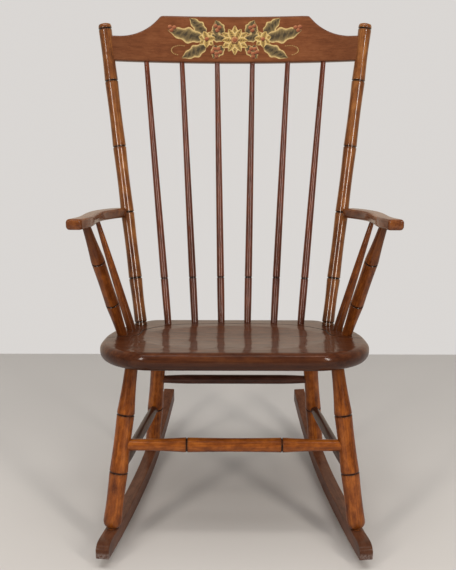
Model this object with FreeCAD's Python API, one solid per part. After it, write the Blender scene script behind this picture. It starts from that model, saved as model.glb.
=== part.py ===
import FreeCAD, Part
import math
import os

# Boston rocking chair, in millimetres.
# The origin is on the floor under the line where the two rockers touch it, half way between them.
# +X is the right side as seen from the front, +Y runs to the back of the chair and +Z is up.
# Every round member is turned on the lathe, runs into a bored socket, and is glued there.

# Seat plank: its own frame is x across, w towards the back along the fall of the seat, n up.
seat_pitch = 9.9
seat_height = 342.0
seat_thickness = 33.0
seat_half_width = 249.0
seat_front = -243.0
seat_back = 167.0
seat_front_corner_x = 108.0
seat_front_corner_w = 142.0
seat_flank_start = -63.0
seat_flank_radius = 400.0
seat_back_corner = 36.0
seat_top_round = 12.0
seat_bottom_round = 17.0

# Saddle: a shallow hollow that is wider than it is deep from front to back.
saddle_depth = 7.0
saddle_half_width = 178.0
saddle_half_length = 140.0
saddle_middle = -65.0

# Gutter that parts the saddle from the raised deck which carries the back and the arms.
gutter_radius = 1.7
gutter_rise = 0.5
gutter_back = 105.0
gutter_stations = ((118.0, 91.0), (176.0, 27.0), (190.0, -47.0))
gutter_end = -81.0
gutter_overrun = 6.0

# Back: the posts stand in a plane that leans back, with x across, s up the plane, n behind it.
back_rake = 16.1
back_foot_y = 86.0
back_foot_half_width = 191.5
back_top_half_width = 268.4
post_length = 623.0
post_rings = (0.1557, 0.3735, 0.5913, 0.8091)
post_cap_ring_drop = 11.5
post_ring_radius = 13.4
post_waist_radius = 12.5
post_foot_radius = 12.0
post_foot_ring = 6.0
post_foot_ring_radius = 12.6
post_top_radius = 13.4
post_crown = 4.0
post_crown_flat = 4.0

# Crest rail: a board steam-bent to a hollow back, tenoned into the two posts near their tops.
crest_bottom_drop = 80.5
crest_height = 95.5
crest_thickness = 16.0
crest_bend = 24.0
crest_flat_half_width = 153.0
crest_end_height = 51.0
crest_scoop_reach = 87.0
crest_tenon_thickness = 9.0
crest_tenon_height = 34.0
crest_tenon_depth = 10.0
crest_tenon_root = 6.0
crest_housing = 3.0
crest_edge_ease = 1.6
crest_corner_round = 4.0

# Back spindles: plain tapered rods, closer together at the seat than at the crest.
spindle_count = 6
spindle_seat_spacing = 55.0
spindle_crest_spacing = 73.0
spindle_foot_radius = 7.1
spindle_belly_radius = 7.6
spindle_top_radius = 5.1
spindle_ring = 94.0
spindle_ring_depth = 0.7
spindle_swell = 0.2
deck_curve_radius = 450.0
deck_curve_middle = 41.0

# Arms: flat shaped boards that fall to the back and are tenoned into the back posts.
arm_pitch = 8.6
arm_thickness = 19.0
arm_front_y = -203.0
arm_front_height = 611.5
arm_outer_half_width = 287.0
arm_front_width = 27.0
arm_edge_round = 3.0
arm_tenon_radius = 6.5
arm_tenon_depth = 9.0
arm_tenon_length = 30.0
arm_tenon_slant = 24.0

# Plan of the arm: shares of the way from its front outer corner to the back post's axis, and how far
# its two sides lie outside the straight line between them.
arm_outer_shares = (0.2, 0.55, 0.75, 0.93, 1.03)
arm_outer_offsets = (5.4, 31.9, 41.3, 38.4, 27.0)
arm_inner_shares = (1.0, 0.84, 0.68, 0.5, 0.24, 0.1)
arm_inner_offsets = (-4.0, 6.3, 10.1, 1.5, -19.9, -27.3)

# Turned arm posts and plain arm spindles between the seat and the arms, placed in the arm's plan.
arm_post_foot = (216.0, -37.0)
arm_post_head_share = 0.17
arm_post_head_offset = -15.6
arm_post_ring_radius = 12.4
arm_post_head_radius = 7.6
arm_post_foot_radius = 9.4
arm_post_rings = (0.31, 0.70)
arm_post_waist = 0.5
arm_spindle_foot = (204.0, 20.0)
arm_spindle_head_share = 0.6403
arm_spindle_head_offset = 20.4
arm_spindle_foot_radius = 9.0
arm_spindle_head_radius = 4.4
arm_spindle_swell = 0.7

# Rockers: upright boards that toe in towards the back.
rocker_half_gauge = 194.0
rocker_toe_in = 0.130
rocker_thickness = 24.0
rocker_front_radius = 2390.0
rocker_back_radius = 850.0
rocker_front_y = -298.0
rocker_back_y = 319.0
rocker_height = 28.0
rocker_front_height = 29.5
rocker_front_nose = 15.0
rocker_front_nose_length = 21.0
rocker_nose_bulge = 3.0
rocker_back_tip_height = 28.0
rocker_edge_round = 2.5

# Legs: turned, splayed both ways, tenoned into the seat above and the rockers below.
front_leg_top = (184.5, -173.0)
front_foot_y = -228.5
rear_leg_top = (152.5, 67.0)
rear_foot_y = 130.0
leg_tenon_radius = 8.0
leg_tenon_depth = 16.0
leg_neck = 3.0
leg_foot_rounding = 13.0
leg_waist = 0.9
front_leg_rings = (0.35, 0.70)
front_leg_ring_radii = (16.7, 15.9)
front_leg_foot_radius = 16.8
front_leg_top_radius = 11.4
rear_leg_rings = (0.38, 0.78)
rear_leg_ring_radii = (16.2, 15.2)
rear_leg_foot_radius = 16.2
rear_leg_top_radius = 12.2

# Stretchers: the front one is turned like the legs, the others are plain and slightly bellied.
front_stretcher_share = 0.515
front_stretcher_ring_radius = 13.2
front_stretcher_end_radius = 10.6
front_stretcher_ring_x = 86.0
stretcher_waist = 0.9
stretcher_tenon_show = 17.0
rear_stretcher_share = 0.65
plain_stretcher_radius = 9.6
plain_stretcher_end_radius = 8.0
stretcher_taper = 45.0
stretcher_taper_bow = 0.3

# Rings: a turned groove where two bamboo joints meet.
ring_width = 2.6
ring_depth = 1.1

# Joints
glue_gap = 0.15
socket_end_gap = 1.0
seat_socket_depth = 22.0
arm_socket_depth = 12.0
crest_socket_depth = 20.0
leg_socket_reach = 1.0
socket_mouth = 12.0
stretcher_socket_mouth = 40.0

# Room that the cutting shapes have beyond what they cut, and how closely edges are picked.
saddle_tool_half_width = 213.6
saddle_tool_half_length = 182.0
saddle_tool_roof = 20.0
pick_tolerance = 0.01
pick_margin = 2.0

origin = FreeCAD.Vector(0, 0, 0)
x_axis = FreeCAD.Vector(1, 0, 0)
z_axis = FreeCAD.Vector(0, 0, 1)


def vec(x, y, z):
    return FreeCAD.Vector(x, y, z)


def rise(pitch):
    """Fall of a plane per millimetre towards the back."""
    return math.tan(math.radians(pitch))


def tilted(shape, pitch, height):
    """Turn a shape from its level drawing frame down to the back, then lift it."""
    shape.rotate(origin, x_axis, -pitch)
    shape.translate(vec(0, 0, height))
    return shape


def seat_point(x, y, below=0.0):
    """Point on the seat's top plane at plan position x, y, or straight below it."""
    return vec(x, y, seat_height - y * rise(seat_pitch) - below)


seat_drop = seat_thickness / math.cos(math.radians(seat_pitch))
arm_drop = arm_thickness / math.cos(math.radians(arm_pitch))


def arm_point(x, y, below=0.0):
    """Point on the arm's top plane at plan position x, y, or straight below it."""
    return vec(x, y, arm_front_height - (y - arm_front_y) * rise(arm_pitch) - below)


def back_point(x, s, n):
    """Point of the back's leaning plane."""
    lean = math.radians(back_rake)
    foot = seat_point(0, back_foot_y)
    up = vec(0, math.sin(lean), math.cos(lean))
    behind = vec(0, math.cos(lean), -math.sin(lean))
    return foot + vec(x, 0, 0) + up * s + behind * n


def arc(a, b, c):
    return Part.Arc(a, b, c).toShape()


def line(a, b):
    return Part.LineSegment(a, b).toShape()


def mirrored(shape):
    return shape.mirror(origin, x_axis)


def along(start, end, shape):
    """Place a shape drawn along +Z so that it starts at start and points to end."""
    direction = end - start
    turn = FreeCAD.Rotation(z_axis, direction)
    shape.Placement = FreeCAD.Placement(start, turn)
    return shape


def rod(start, end, radius):
    direction = end - start
    return Part.makeCylinder(radius, direction.Length, start, direction)


def turned(start, end, stations):
    """Revolve a lathe profile between two points.

    A station is (distance, radius, middle): middle is None where a straight line leads to it,
    or the point that an arc from the station before passes through.
    """
    first = stations[0]
    last = stations[-1]
    profile = [line(vec(0, 0, first[0]), vec(first[1], 0, first[0]))]
    for before, after in zip(stations, stations[1:]):
        a = vec(before[1], 0, before[0])
        b = vec(after[1], 0, after[0])
        middle = after[2]
        profile.append(arc(a, vec(middle[1], 0, middle[0]), b) if middle else line(a, b))
    profile.append(line(vec(last[1], 0, last[0]), vec(0, 0, last[0])))
    profile.append(line(vec(0, 0, last[0]), vec(0, 0, first[0])))
    body = Part.Face(Part.Wire(profile)).revolve(origin, z_axis, 360)
    return along(start, end, Part.Solid(body) if body.ShapeType == "Shell" else body)


def bowed(before, distance, radius, bow):
    """Station reached by a shallow arc that bows outwards, or inwards where bow is negative."""
    middle = ((before[0] + distance) / 2, (before[1] + radius) / 2 + bow)
    return (distance, radius, middle if bow else None)


def quarter(before, distance, radius, flat_first):
    """Station reached by a rounded corner, which leaves the station before along or across."""
    far = 1 / math.sqrt(2)
    near = 1 - far
    share_d, share_r = (near, far) if flat_first else (far, near)
    middle = (before[0] + (distance - before[0]) * share_d, before[1] + (radius - before[1]) * share_r)
    return (distance, radius, middle)


def ring(stations, distance, radius, depth, bow):
    """Add a turned groove, reached from the station before by a bowed bay."""
    half = ring_width / 2
    stations.append(bowed(stations[-1], distance - half, radius, bow))
    stations.append((distance - half / 2, radius - depth, None))
    stations.append((distance + half / 2, radius - depth, None))
    stations.append((distance + half, radius, None))


def bamboo(stations, rings, end, waist):
    """Add the bays and rings of a bamboo turning; each bay necks in by waist.

    rings and end are (distance, radius).
    """
    for distance, radius in rings:
        ring(stations, distance, radius, ring_depth, -waist)
    stations.append(bowed(stations[-1], end[0], end[1], -waist))


# Leg axes, shared by the legs, the seat, the rockers and the stretchers.
def rocker_centre(y):
    return rocker_half_gauge - rocker_toe_in * y


def rocker_bottom(y):
    radius = rocker_front_radius if y < 0 else rocker_back_radius
    along_board = y * math.hypot(1, rocker_toe_in)
    return radius - math.sqrt(radius * radius - along_board * along_board)


def rocker_top(y):
    """Height of the board's upper edge: level depth in the middle, then a little more or less."""
    if y < 0:
        end_depth = rocker_front_height
        share = y / rocker_front_y
    else:
        end_depth = rocker_back_tip_height
        share = y / rocker_back_y
    return rocker_bottom(y) + rocker_height + (end_depth - rocker_height) * share * share


def leg_axis(top, foot_y):
    foot = vec(rocker_centre(foot_y), foot_y, rocker_top(foot_y))
    head = seat_point(top[0], top[1], seat_drop)
    return foot, head


front_foot, front_head = leg_axis(front_leg_top, front_foot_y)
rear_foot, rear_head = leg_axis(rear_leg_top, rear_foot_y)


def share_point(a, b, share):
    return a + (b - a) * share


def past(a, b, distance):
    """Point at a distance beyond b on the line from a."""
    direction = b - a
    direction.normalize()
    return b + direction * distance


front_stretcher_point = share_point(front_foot, front_head, front_stretcher_share)
rear_stretcher_point = share_point(rear_foot, rear_head, rear_stretcher_share)
side_front_point = share_point(front_foot, front_head, front_leg_rings[0])
side_rear_point = share_point(rear_foot, rear_head, rear_leg_rings[0])

post_foot = back_point(back_foot_half_width, 0, 0)
post_top = back_point(back_top_half_width, post_length, 0)


def post_x(s):
    """Half distance between the post axes at height s of the back plane."""
    return back_foot_half_width + (back_top_half_width - back_foot_half_width) * s / post_length


crest_bottom = post_length - crest_bottom_drop
crest_chord = post_x(crest_bottom)
crest_radius = (crest_chord ** 2 + crest_bend ** 2) / (2 * crest_bend)


def crest_setback(x):
    """How far the middle of the crest board lies behind the posts' plane."""
    return crest_bend - crest_radius + math.sqrt(crest_radius ** 2 - x ** 2)


def spindle_ends(index):
    """Foot on the deck and head at the crest's lower edge of one back spindle."""
    place = index - (spindle_count - 1) / 2
    x_seat = place * spindle_seat_spacing
    x_crest = place * spindle_crest_spacing
    bow = deck_curve_radius - math.sqrt(deck_curve_radius ** 2 - x_seat ** 2)
    foot = seat_point(x_seat, back_foot_y + deck_curve_middle - bow)
    head = back_point(x_crest, crest_bottom, crest_setback(x_crest))
    return foot, head


# Axes of all that stands in the seat: foot, head and radius at the seat.
def standing_members():
    members = []
    for index in range(spindle_count):
        foot, head = spindle_ends(index)
        members.append((foot, head, spindle_foot_radius))
    for side in (-1, 1):
        flip = vec(side, 1, 1)
        members.append((scaled(post_foot, flip), scaled(post_top, flip), post_foot_radius))
        foot, head = arm_post_ends(side)
        members.append((foot, head, arm_post_foot_radius))
        foot, head = arm_spindle_ends(side)
        members.append((foot, head, arm_spindle_foot_radius))
    return members


def scaled(point, factors):
    return vec(point.x * factors.x, point.y * factors.y, point.z * factors.z)


def arm_post_ends(side):
    foot = seat_point(side * arm_post_foot[0], arm_post_foot[1])
    x, y = arm_plan(arm_post_head_share, arm_post_head_offset)
    head = arm_point(side * x, y, arm_drop)
    return foot, head


def arm_spindle_ends(side):
    foot = seat_point(side * arm_spindle_foot[0], arm_spindle_foot[1])
    x, y = arm_plan(arm_spindle_head_share, arm_spindle_head_offset)
    head = arm_point(side * x, y, arm_drop)
    return foot, head


def socket(inside, outside, radius, depth):
    """Bore that takes a round member: from its blind end, through the surface and clear of it."""
    blind = past(outside, inside, depth + socket_end_gap)
    clear = past(blind, inside, socket_mouth)
    return rod(blind, clear, radius + glue_gap)


def ellipse_corner(x, w):
    """Front corner of the plank: a quarter of an ellipse about x, w, longer than it is wide."""
    long_end = vec(x, seat_front, 0)
    short_end = vec(seat_half_width, w, 0)
    ellipse = Part.Ellipse(long_end, short_end, vec(x, w, 0))
    first = ellipse.parameter(long_end)
    last = ellipse.parameter(short_end)
    if last < first:
        last += 2 * math.pi
    return Part.Arc(ellipse, first, last).toShape()


def seat_outline():
    """Plan of the plank: straight front, round front corners, sides that draw in to the back."""
    corner_x = seat_half_width - seat_front_corner_x
    corner_w = seat_front + seat_front_corner_w
    flank_x = seat_flank_radius - seat_half_width
    inner = seat_flank_radius - seat_back_corner
    back_w = seat_back - seat_back_corner
    back_x = math.sqrt(inner * inner - (back_w - seat_flank_start) ** 2) - flank_x
    reach = seat_flank_radius / inner
    meet_x = (back_x + flank_x) * reach - flank_x
    meet_w = (back_w - seat_flank_start) * reach + seat_flank_start
    half_turn = math.atan2(meet_w - seat_flank_start, meet_x + flank_x) / 2
    flank_mid_x = seat_flank_radius * math.cos(half_turn) - flank_x
    flank_mid_w = seat_flank_radius * math.sin(half_turn) + seat_flank_start
    corner_turn = half_turn + math.pi / 4
    round_x = back_x + seat_back_corner * math.cos(corner_turn)
    round_w = back_w + seat_back_corner * math.sin(corner_turn)

    right = [
        ellipse_corner(corner_x, corner_w),
        line(vec(seat_half_width, corner_w, 0), vec(seat_half_width, seat_flank_start, 0)),
        arc(vec(seat_half_width, seat_flank_start, 0), vec(flank_mid_x, flank_mid_w, 0),
            vec(meet_x, meet_w, 0)),
        arc(vec(meet_x, meet_w, 0), vec(round_x, round_w, 0), vec(back_x, seat_back, 0)),
    ]
    left = [mirrored(edge) for edge in right]
    front = line(vec(-corner_x, seat_front, 0), vec(corner_x, seat_front, 0))
    back = line(vec(back_x, seat_back, 0), vec(-back_x, seat_back, 0))
    edges = Part.sortEdges([front, back] + right + left)[0]
    return Part.Wire(edges)


def saddle_tool():
    """Barrel whose belly hollows the seat: one radius across, another from front to back."""
    across = (saddle_half_width ** 2 + saddle_depth ** 2) / (2 * saddle_depth)
    lengthwise = (saddle_half_length ** 2 + saddle_depth ** 2) / (2 * saddle_depth)
    half = saddle_tool_half_width
    edge_n = across - math.sqrt(across * across - half * half) - saddle_depth
    roof = edge_n + saddle_tool_roof
    face = Part.Face(Part.Wire([
        arc(vec(-half, 0, edge_n), vec(0, 0, -saddle_depth), vec(half, 0, edge_n)),
        line(vec(half, 0, edge_n), vec(half, 0, roof)),
        line(vec(half, 0, roof), vec(-half, 0, roof)),
        line(vec(-half, 0, roof), vec(-half, 0, edge_n)),
    ]))
    turn = math.degrees(math.asin(saddle_tool_half_length / lengthwise))
    axis_point = vec(0, 0, lengthwise - saddle_depth)
    face.rotate(axis_point, x_axis, -turn)
    tool = face.revolve(axis_point, x_axis, 2 * turn)
    tool.translate(vec(0, saddle_middle, 0))
    return tool


def gutter_tool():
    """Round channel swept along the front of the deck and out over both sides of the seat."""
    outside = seat_half_width + gutter_overrun
    half = [(0.0, gutter_back)] + list(gutter_stations) + [(outside, gutter_end)]
    points = [vec(-x, w, gutter_rise) for x, w in reversed(half[1:])]
    points += [vec(x, w, gutter_rise) for x, w in half]
    curve = Part.BSplineCurve()
    curve.interpolate(points)
    path = Part.Wire([curve.toShape()])
    start = points[0]
    heading = curve.tangent(curve.FirstParameter)[0]
    section = Part.Wire([Part.Circle(start, heading, gutter_radius).toShape()])
    return path.makePipeShell([section], True, True)


def make_seat():
    plank = Part.Face(seat_outline()).extrude(vec(0, 0, seat_thickness))
    plank.translate(vec(0, 0, -seat_thickness))
    level = [e for e in plank.Edges if e.BoundBox.ZLength < pick_tolerance]
    top_edges = [e for e in level if abs(e.BoundBox.ZMin) < pick_tolerance]
    plank = plank.makeFillet(seat_top_round, top_edges)
    level = [e for e in plank.Edges if e.BoundBox.ZLength < pick_tolerance]
    low_edges = [e for e in level if abs(e.BoundBox.ZMax + seat_thickness) < pick_tolerance]
    plank = plank.makeFillet(seat_bottom_round, low_edges)
    plank = plank.cut(saddle_tool())
    plank = plank.cut(gutter_tool())
    tilted(plank, seat_pitch, seat_height)
    for foot, head, radius in standing_members():
        plank = plank.cut(socket(foot, head, radius, seat_socket_depth))
    for side in (-1, 1):
        flip = vec(side, 1, 1)
        for foot, head, radius in ((front_foot, front_head, front_leg_top_radius),
                                   (rear_foot, rear_head, rear_leg_top_radius)):
            bore = socket(scaled(head, flip), scaled(foot, flip), radius, seat_socket_depth)
            plank = plank.cut(bore)
    return plank


def make_leg(foot, head, rings, ring_radii, foot_radius, top_radius):
    """One right-hand leg, with its lower tenon, neck, rounded foot, two rings and upper tenon."""
    span = (head - foot).Length
    stations = [(-leg_tenon_depth, leg_tenon_radius, None), (leg_neck, leg_tenon_radius, None)]
    stations.append(quarter(stations[-1], leg_neck + leg_foot_rounding, foot_radius, True))
    turned_rings = [(span * share, radius) for share, radius in zip(rings, ring_radii)]
    bamboo(stations, turned_rings, (span, top_radius), leg_waist)
    stations.append((span + seat_socket_depth, top_radius, None))
    return turned(foot, head, stations)


def stretcher_socket(leg_point, other_point, radius):
    """Blind bore in a leg: it stops just short of the leg's axis."""
    start = share_point(leg_point, other_point, leg_socket_reach / (other_point - leg_point).Length)
    return rod(start, past(leg_point, start, stretcher_socket_mouth), radius + glue_gap)


def opposite(point):
    return vec(-point.x, point.y, point.z)


def make_front_leg():
    leg = make_leg(front_foot, front_head, front_leg_rings, front_leg_ring_radii,
                   front_leg_foot_radius, front_leg_top_radius)
    leg = leg.cut(stretcher_socket(front_stretcher_point, opposite(front_stretcher_point),
                                   front_stretcher_end_radius))
    return leg.cut(stretcher_socket(side_front_point, side_rear_point, plain_stretcher_end_radius))


def make_rear_leg():
    leg = make_leg(rear_foot, rear_head, rear_leg_rings, rear_leg_ring_radii,
                   rear_leg_foot_radius, rear_leg_top_radius)
    leg = leg.cut(stretcher_socket(rear_stretcher_point, opposite(rear_stretcher_point),
                                   plain_stretcher_end_radius))
    return leg.cut(stretcher_socket(side_rear_point, side_front_point, plain_stretcher_end_radius))


def tenon_ends(a, b):
    """Ends of a stretcher between two leg axes: each stops a little short of its bore's end."""
    inset = leg_socket_reach + socket_end_gap
    length = (b - a).Length
    return share_point(a, b, inset / length), share_point(b, a, inset / length)


def plain_stretcher(a, b):
    start, end = tenon_ends(a, b)
    length = (end - start).Length
    slim = plain_stretcher_end_radius
    belly = plain_stretcher_radius
    stations = [(0.0, slim, None), (stretcher_tenon_show, slim, None)]
    shoulder = stretcher_tenon_show + stretcher_taper
    stations.append(bowed(stations[-1], shoulder, belly, stretcher_taper_bow))
    stations.append((length - shoulder, belly, None))
    stations.append(bowed(stations[-1], length - stretcher_tenon_show, slim, stretcher_taper_bow))
    stations.append((length, slim, None))
    return turned(start, end, stations)


def front_stretcher():
    a = opposite(front_stretcher_point)
    start, end = tenon_ends(a, front_stretcher_point)
    length = (end - start).Length
    middle = length / 2
    slim = front_stretcher_end_radius
    rings = [(middle + side * front_stretcher_ring_x, front_stretcher_ring_radius) for side in (-1, 1)]
    stations = [(0.0, slim, None), (stretcher_tenon_show, slim, None)]
    bamboo(stations, rings, (length - stretcher_tenon_show, slim), stretcher_waist)
    stations.append((length, slim, None))
    return turned(start, end, stations)


def make_rocker():
    """Right-hand rocker: drawn in its own upright plane, then stood on its toed-in line."""
    stretch = math.hypot(1, rocker_toe_in)

    def low(y):
        return vec(0, y * stretch, rocker_bottom(y))

    def high(y):
        return vec(0, y * stretch, rocker_top(y))

    nose_start = rocker_front_y + rocker_front_nose_length
    upper = Part.BSplineCurve()
    upper.interpolate([high(rocker_back_y * k / 4) for k in (4, 3, 2, 1)]
                      + [high(nose_start * k / 4) for k in (0, 1, 2, 3, 4)])
    nose_low = low(rocker_front_y) + vec(0, 0, rocker_front_nose)
    nose_high = high(nose_start)
    nose_mid = (nose_low + nose_high) * 0.5 + vec(0, -rocker_nose_bulge, rocker_nose_bulge)
    wire = Part.Wire([
        arc(low(rocker_front_y), low(rocker_front_y / 2), low(0)),
        arc(low(0), low(rocker_back_y / 2), low(rocker_back_y)),
        line(low(rocker_back_y), high(rocker_back_y)),
        upper.toShape(),
        arc(nose_high, nose_mid, nose_low),
        line(nose_low, low(rocker_front_y)),
    ])
    board = Part.Face(wire).extrude(vec(rocker_thickness, 0, 0))
    board.translate(vec(-rocker_thickness / 2, 0, 0))
    edges = [e for e in board.Edges if e.BoundBox.XLength < pick_tolerance]
    board = board.makeFillet(rocker_edge_round, edges)
    board.rotate(origin, z_axis, math.degrees(math.atan(rocker_toe_in)))
    board.translate(vec(rocker_half_gauge, 0, 0))
    for foot, head in ((front_foot, front_head), (rear_foot, rear_head)):
        board = board.cut(socket(foot, head, leg_tenon_radius, leg_tenon_depth))
    return board


def make_post():
    """Right-hand back post with its five rings and a low domed top."""
    stations = [(-seat_socket_depth, post_foot_radius, None), (0.0, post_foot_radius, None)]
    ring(stations, post_foot_ring, post_foot_ring_radius, ring_depth, 0.0)
    rings = [(post_length * share, post_ring_radius) for share in post_rings]
    brow = (post_length - post_cap_ring_drop, post_ring_radius)
    bamboo(stations, rings, (brow[0] - ring_width / 2, brow[1]), post_ring_radius - post_waist_radius)
    stations.append((brow[0] - ring_width / 4, brow[1] - ring_depth, None))
    stations.append((brow[0] + ring_width / 4, brow[1] - ring_depth, None))
    stations.append((brow[0] + ring_width / 2, brow[1], None))
    stations.append((post_length - post_crown, post_top_radius, None))
    stations.append(quarter(stations[-1], post_length, post_crown_flat, False))
    post = turned(post_foot, post_top, stations)
    post = post.cut(bent_board(glue_gap))
    post = post.cut(crest_tenon(glue_gap))
    return post.cut(arm_tenon(glue_gap, socket_end_gap))


def crest_tenon(gap):
    """Right-hand tongue of the crest, or with a gap its mortise in the post."""
    s_middle = crest_bottom + crest_end_height / 2
    shoulder_x = post_x(s_middle) - post_ring_radius
    start_x = shoulder_x - crest_tenon_root
    end_x = shoulder_x + crest_tenon_depth + (socket_end_gap if gap else 0.0)
    half_s = crest_tenon_height / 2 + gap
    half_n = crest_tenon_thickness / 2 + gap
    setback = crest_setback(shoulder_x)
    corners = [back_point(x, s_middle + s, setback - half_n)
               for x, s in ((start_x, -half_s), (end_x, -half_s), (end_x, half_s), (start_x, half_s))]
    face = Part.Face(Part.makePolygon(corners + corners[:1]))
    return face.extrude(back_point(0, 0, 2 * half_n) - back_point(0, 0, 0))


def bent_board(gap):
    """Crest outline cut out of a bent plank; with a gap, the housing it leaves in the posts."""
    bottom = crest_bottom - gap
    top = crest_bottom + crest_height + gap
    end_top = crest_bottom + crest_end_height + gap
    let_in = crest_housing - post_ring_radius + (socket_end_gap if gap else 0.0)
    x_end_low = post_x(bottom) + let_in
    x_end_high = post_x(end_top) + let_in
    drop = top - end_top
    scoop_radius = (crest_scoop_reach ** 2 + drop ** 2) / (2 * drop)
    scoop_x = crest_flat_half_width + crest_scoop_reach
    half_reach = crest_scoop_reach / 2
    mid_x = scoop_x - half_reach
    mid_s = end_top + scoop_radius - math.sqrt(scoop_radius ** 2 - half_reach ** 2)

    def flat(x, s):
        return back_point(x, s, -crest_height)

    right = [
        line(flat(x_end_low, bottom), flat(x_end_high, end_top)),
        line(flat(x_end_high, end_top), flat(scoop_x, end_top)),
        arc(flat(scoop_x, end_top), flat(mid_x, mid_s), flat(crest_flat_half_width, top)),
    ]
    left = [mirrored(edge) for edge in right]
    level = [line(flat(crest_flat_half_width, top), flat(-crest_flat_half_width, top)),
             line(flat(-x_end_low, bottom), flat(x_end_low, bottom))]
    edges = Part.sortEdges(right + left + level)[0]
    prism = Part.Face(Part.Wire(edges)).extrude(back_point(0, 0, 2 * crest_height) - back_point(0, 0, 0))
    corners = [e for e in prism.Edges
               if e.BoundBox.XLength < pick_tolerance
               and abs(abs(e.CenterOfMass.x) - crest_flat_half_width) < pick_tolerance]
    prism = prism.makeFillet(crest_corner_round, corners)

    axis_foot = back_point(0, 0, crest_bend - crest_radius)
    axis = back_point(0, 1, 0) - back_point(0, 0, 0)
    half_thickness = crest_thickness / 2 + gap
    outer = Part.makeCylinder(crest_radius + half_thickness, 2 * top, axis_foot, axis)
    inner = Part.makeCylinder(crest_radius - half_thickness, 2 * top, axis_foot, axis)
    return prism.common(outer.cut(inner))


def make_crest():
    """The bent board with its long edges eased and a tongue at each end."""
    board = bent_board(0.0)
    long_edges = [e for e in board.Edges if e.Length > crest_end_height + pick_margin]
    board = board.makeChamfer(crest_edge_ease, long_edges)
    tongue = crest_tenon(0.0)
    return board.fuse(tongue).fuse(mirrored(tongue))


def make_spindle(index):
    foot, head = spindle_ends(index)
    length = (head - foot).Length
    stations = [(-seat_socket_depth, spindle_foot_radius, None), (0.0, spindle_foot_radius, None)]
    ring(stations, spindle_ring, spindle_belly_radius, spindle_ring_depth, spindle_swell)
    stations.append(bowed(stations[-1], length, spindle_top_radius, spindle_swell))
    stations.append((length + crest_socket_depth - socket_end_gap, spindle_top_radius, None))
    return turned(foot, head, stations)


def arm_rear_middle():
    """Where the arm's middle plane meets the back post's axis, on the right-hand side."""
    climb = post_top - post_foot
    clearance = arm_point(0, post_foot.y, arm_drop / 2).z - post_foot.z
    return share_point(post_foot, post_top, clearance / (climb.z + climb.y * rise(arm_pitch)))


arm_joint = arm_rear_middle()
arm_tenon_start = arm_point(arm_joint.x + arm_tenon_slant, arm_joint.y - arm_tenon_length, arm_drop / 2)


def arm_tenon(gap, end_gap):
    """Round tenon from the arm's end into the right-hand back post, or with gaps its bore."""
    direction = arm_joint - arm_tenon_start
    direction.normalize()
    end = arm_joint - direction * (post_waist_radius - arm_tenon_depth - end_gap)
    return rod(arm_tenon_start, end, arm_tenon_radius + gap)


def arm_plan(share, offset):
    """Place in the right arm's plan, from the line between its front corner and the post's axis."""
    x = arm_outer_half_width + (arm_joint.x - arm_outer_half_width) * share + offset
    return x, arm_front_y + (arm_joint.y - arm_front_y) * share


def make_arm():
    """Right-hand arm: broad blunt hand rest, a waist, then a sweep in to the back post."""
    def curve(places):
        points = [vec(*arm_plan(share, offset), 0) for share, offset in places]
        side = Part.BSplineCurve()
        side.interpolate(points)
        return side.toShape(), points

    outer, outer_points = curve([(0.0, 0.0)] + list(zip(arm_outer_shares, arm_outer_offsets)))
    inner, inner_points = curve(list(zip(arm_inner_shares, arm_inner_offsets)) + [(0.0, -arm_front_width)])
    outline = Part.Wire([line(inner_points[-1], outer_points[0]), outer,
                         line(outer_points[-1], inner_points[0]), inner])
    tall = Part.Face(outline).extrude(vec(0, 0, 2 * arm_front_height))
    slab = Part.makeBox(2 * arm_outer_half_width, 2 * arm_outer_half_width, arm_thickness,
                        vec(0, -arm_outer_half_width, -arm_thickness))
    tilted(slab, arm_pitch, arm_point(0, 0).z)
    board = tall.common(slab)
    long_edges = [e for e in board.Edges if e.Length > arm_front_width - pick_margin]
    board = board.makeFillet(arm_edge_round, long_edges)
    board = board.cut(rod(post_foot, post_top, post_ring_radius + glue_gap))
    board = board.fuse(arm_tenon(0.0, 0.0))
    for ends, radius in ((arm_post_ends(1), arm_post_head_radius),
                         (arm_spindle_ends(1), arm_spindle_head_radius)):
        foot, head = ends
        board = board.cut(socket(head, foot, radius, arm_socket_depth))
    return board.removeSplitter()


def make_arm_post():
    foot, head = arm_post_ends(1)
    length = (head - foot).Length
    rings = [(length * share, arm_post_ring_radius) for share in arm_post_rings]
    stations = [(-seat_socket_depth, arm_post_foot_radius, None), (0.0, arm_post_foot_radius, None)]
    bamboo(stations, rings, (length, arm_post_head_radius), arm_post_waist)
    stations.append((length + arm_socket_depth, arm_post_head_radius, None))
    return turned(foot, head, stations)


def make_arm_spindle():
    foot, head = arm_spindle_ends(1)
    length = (head - foot).Length
    stations = [(-seat_socket_depth, arm_spindle_foot_radius, None), (0.0, arm_spindle_foot_radius, None)]
    stations.append(bowed(stations[-1], length, arm_spindle_head_radius, arm_spindle_swell))
    stations.append((length + arm_socket_depth, arm_spindle_head_radius, None))
    return turned(foot, head, stations)


def save(name, shape):
    shape.exportStep("parts/" + name + ".step")
    print(name, "solids", len(shape.Solids), "valid", shape.isValid(),
          "litres", round(shape.Volume / 1e6, 4))


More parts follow.
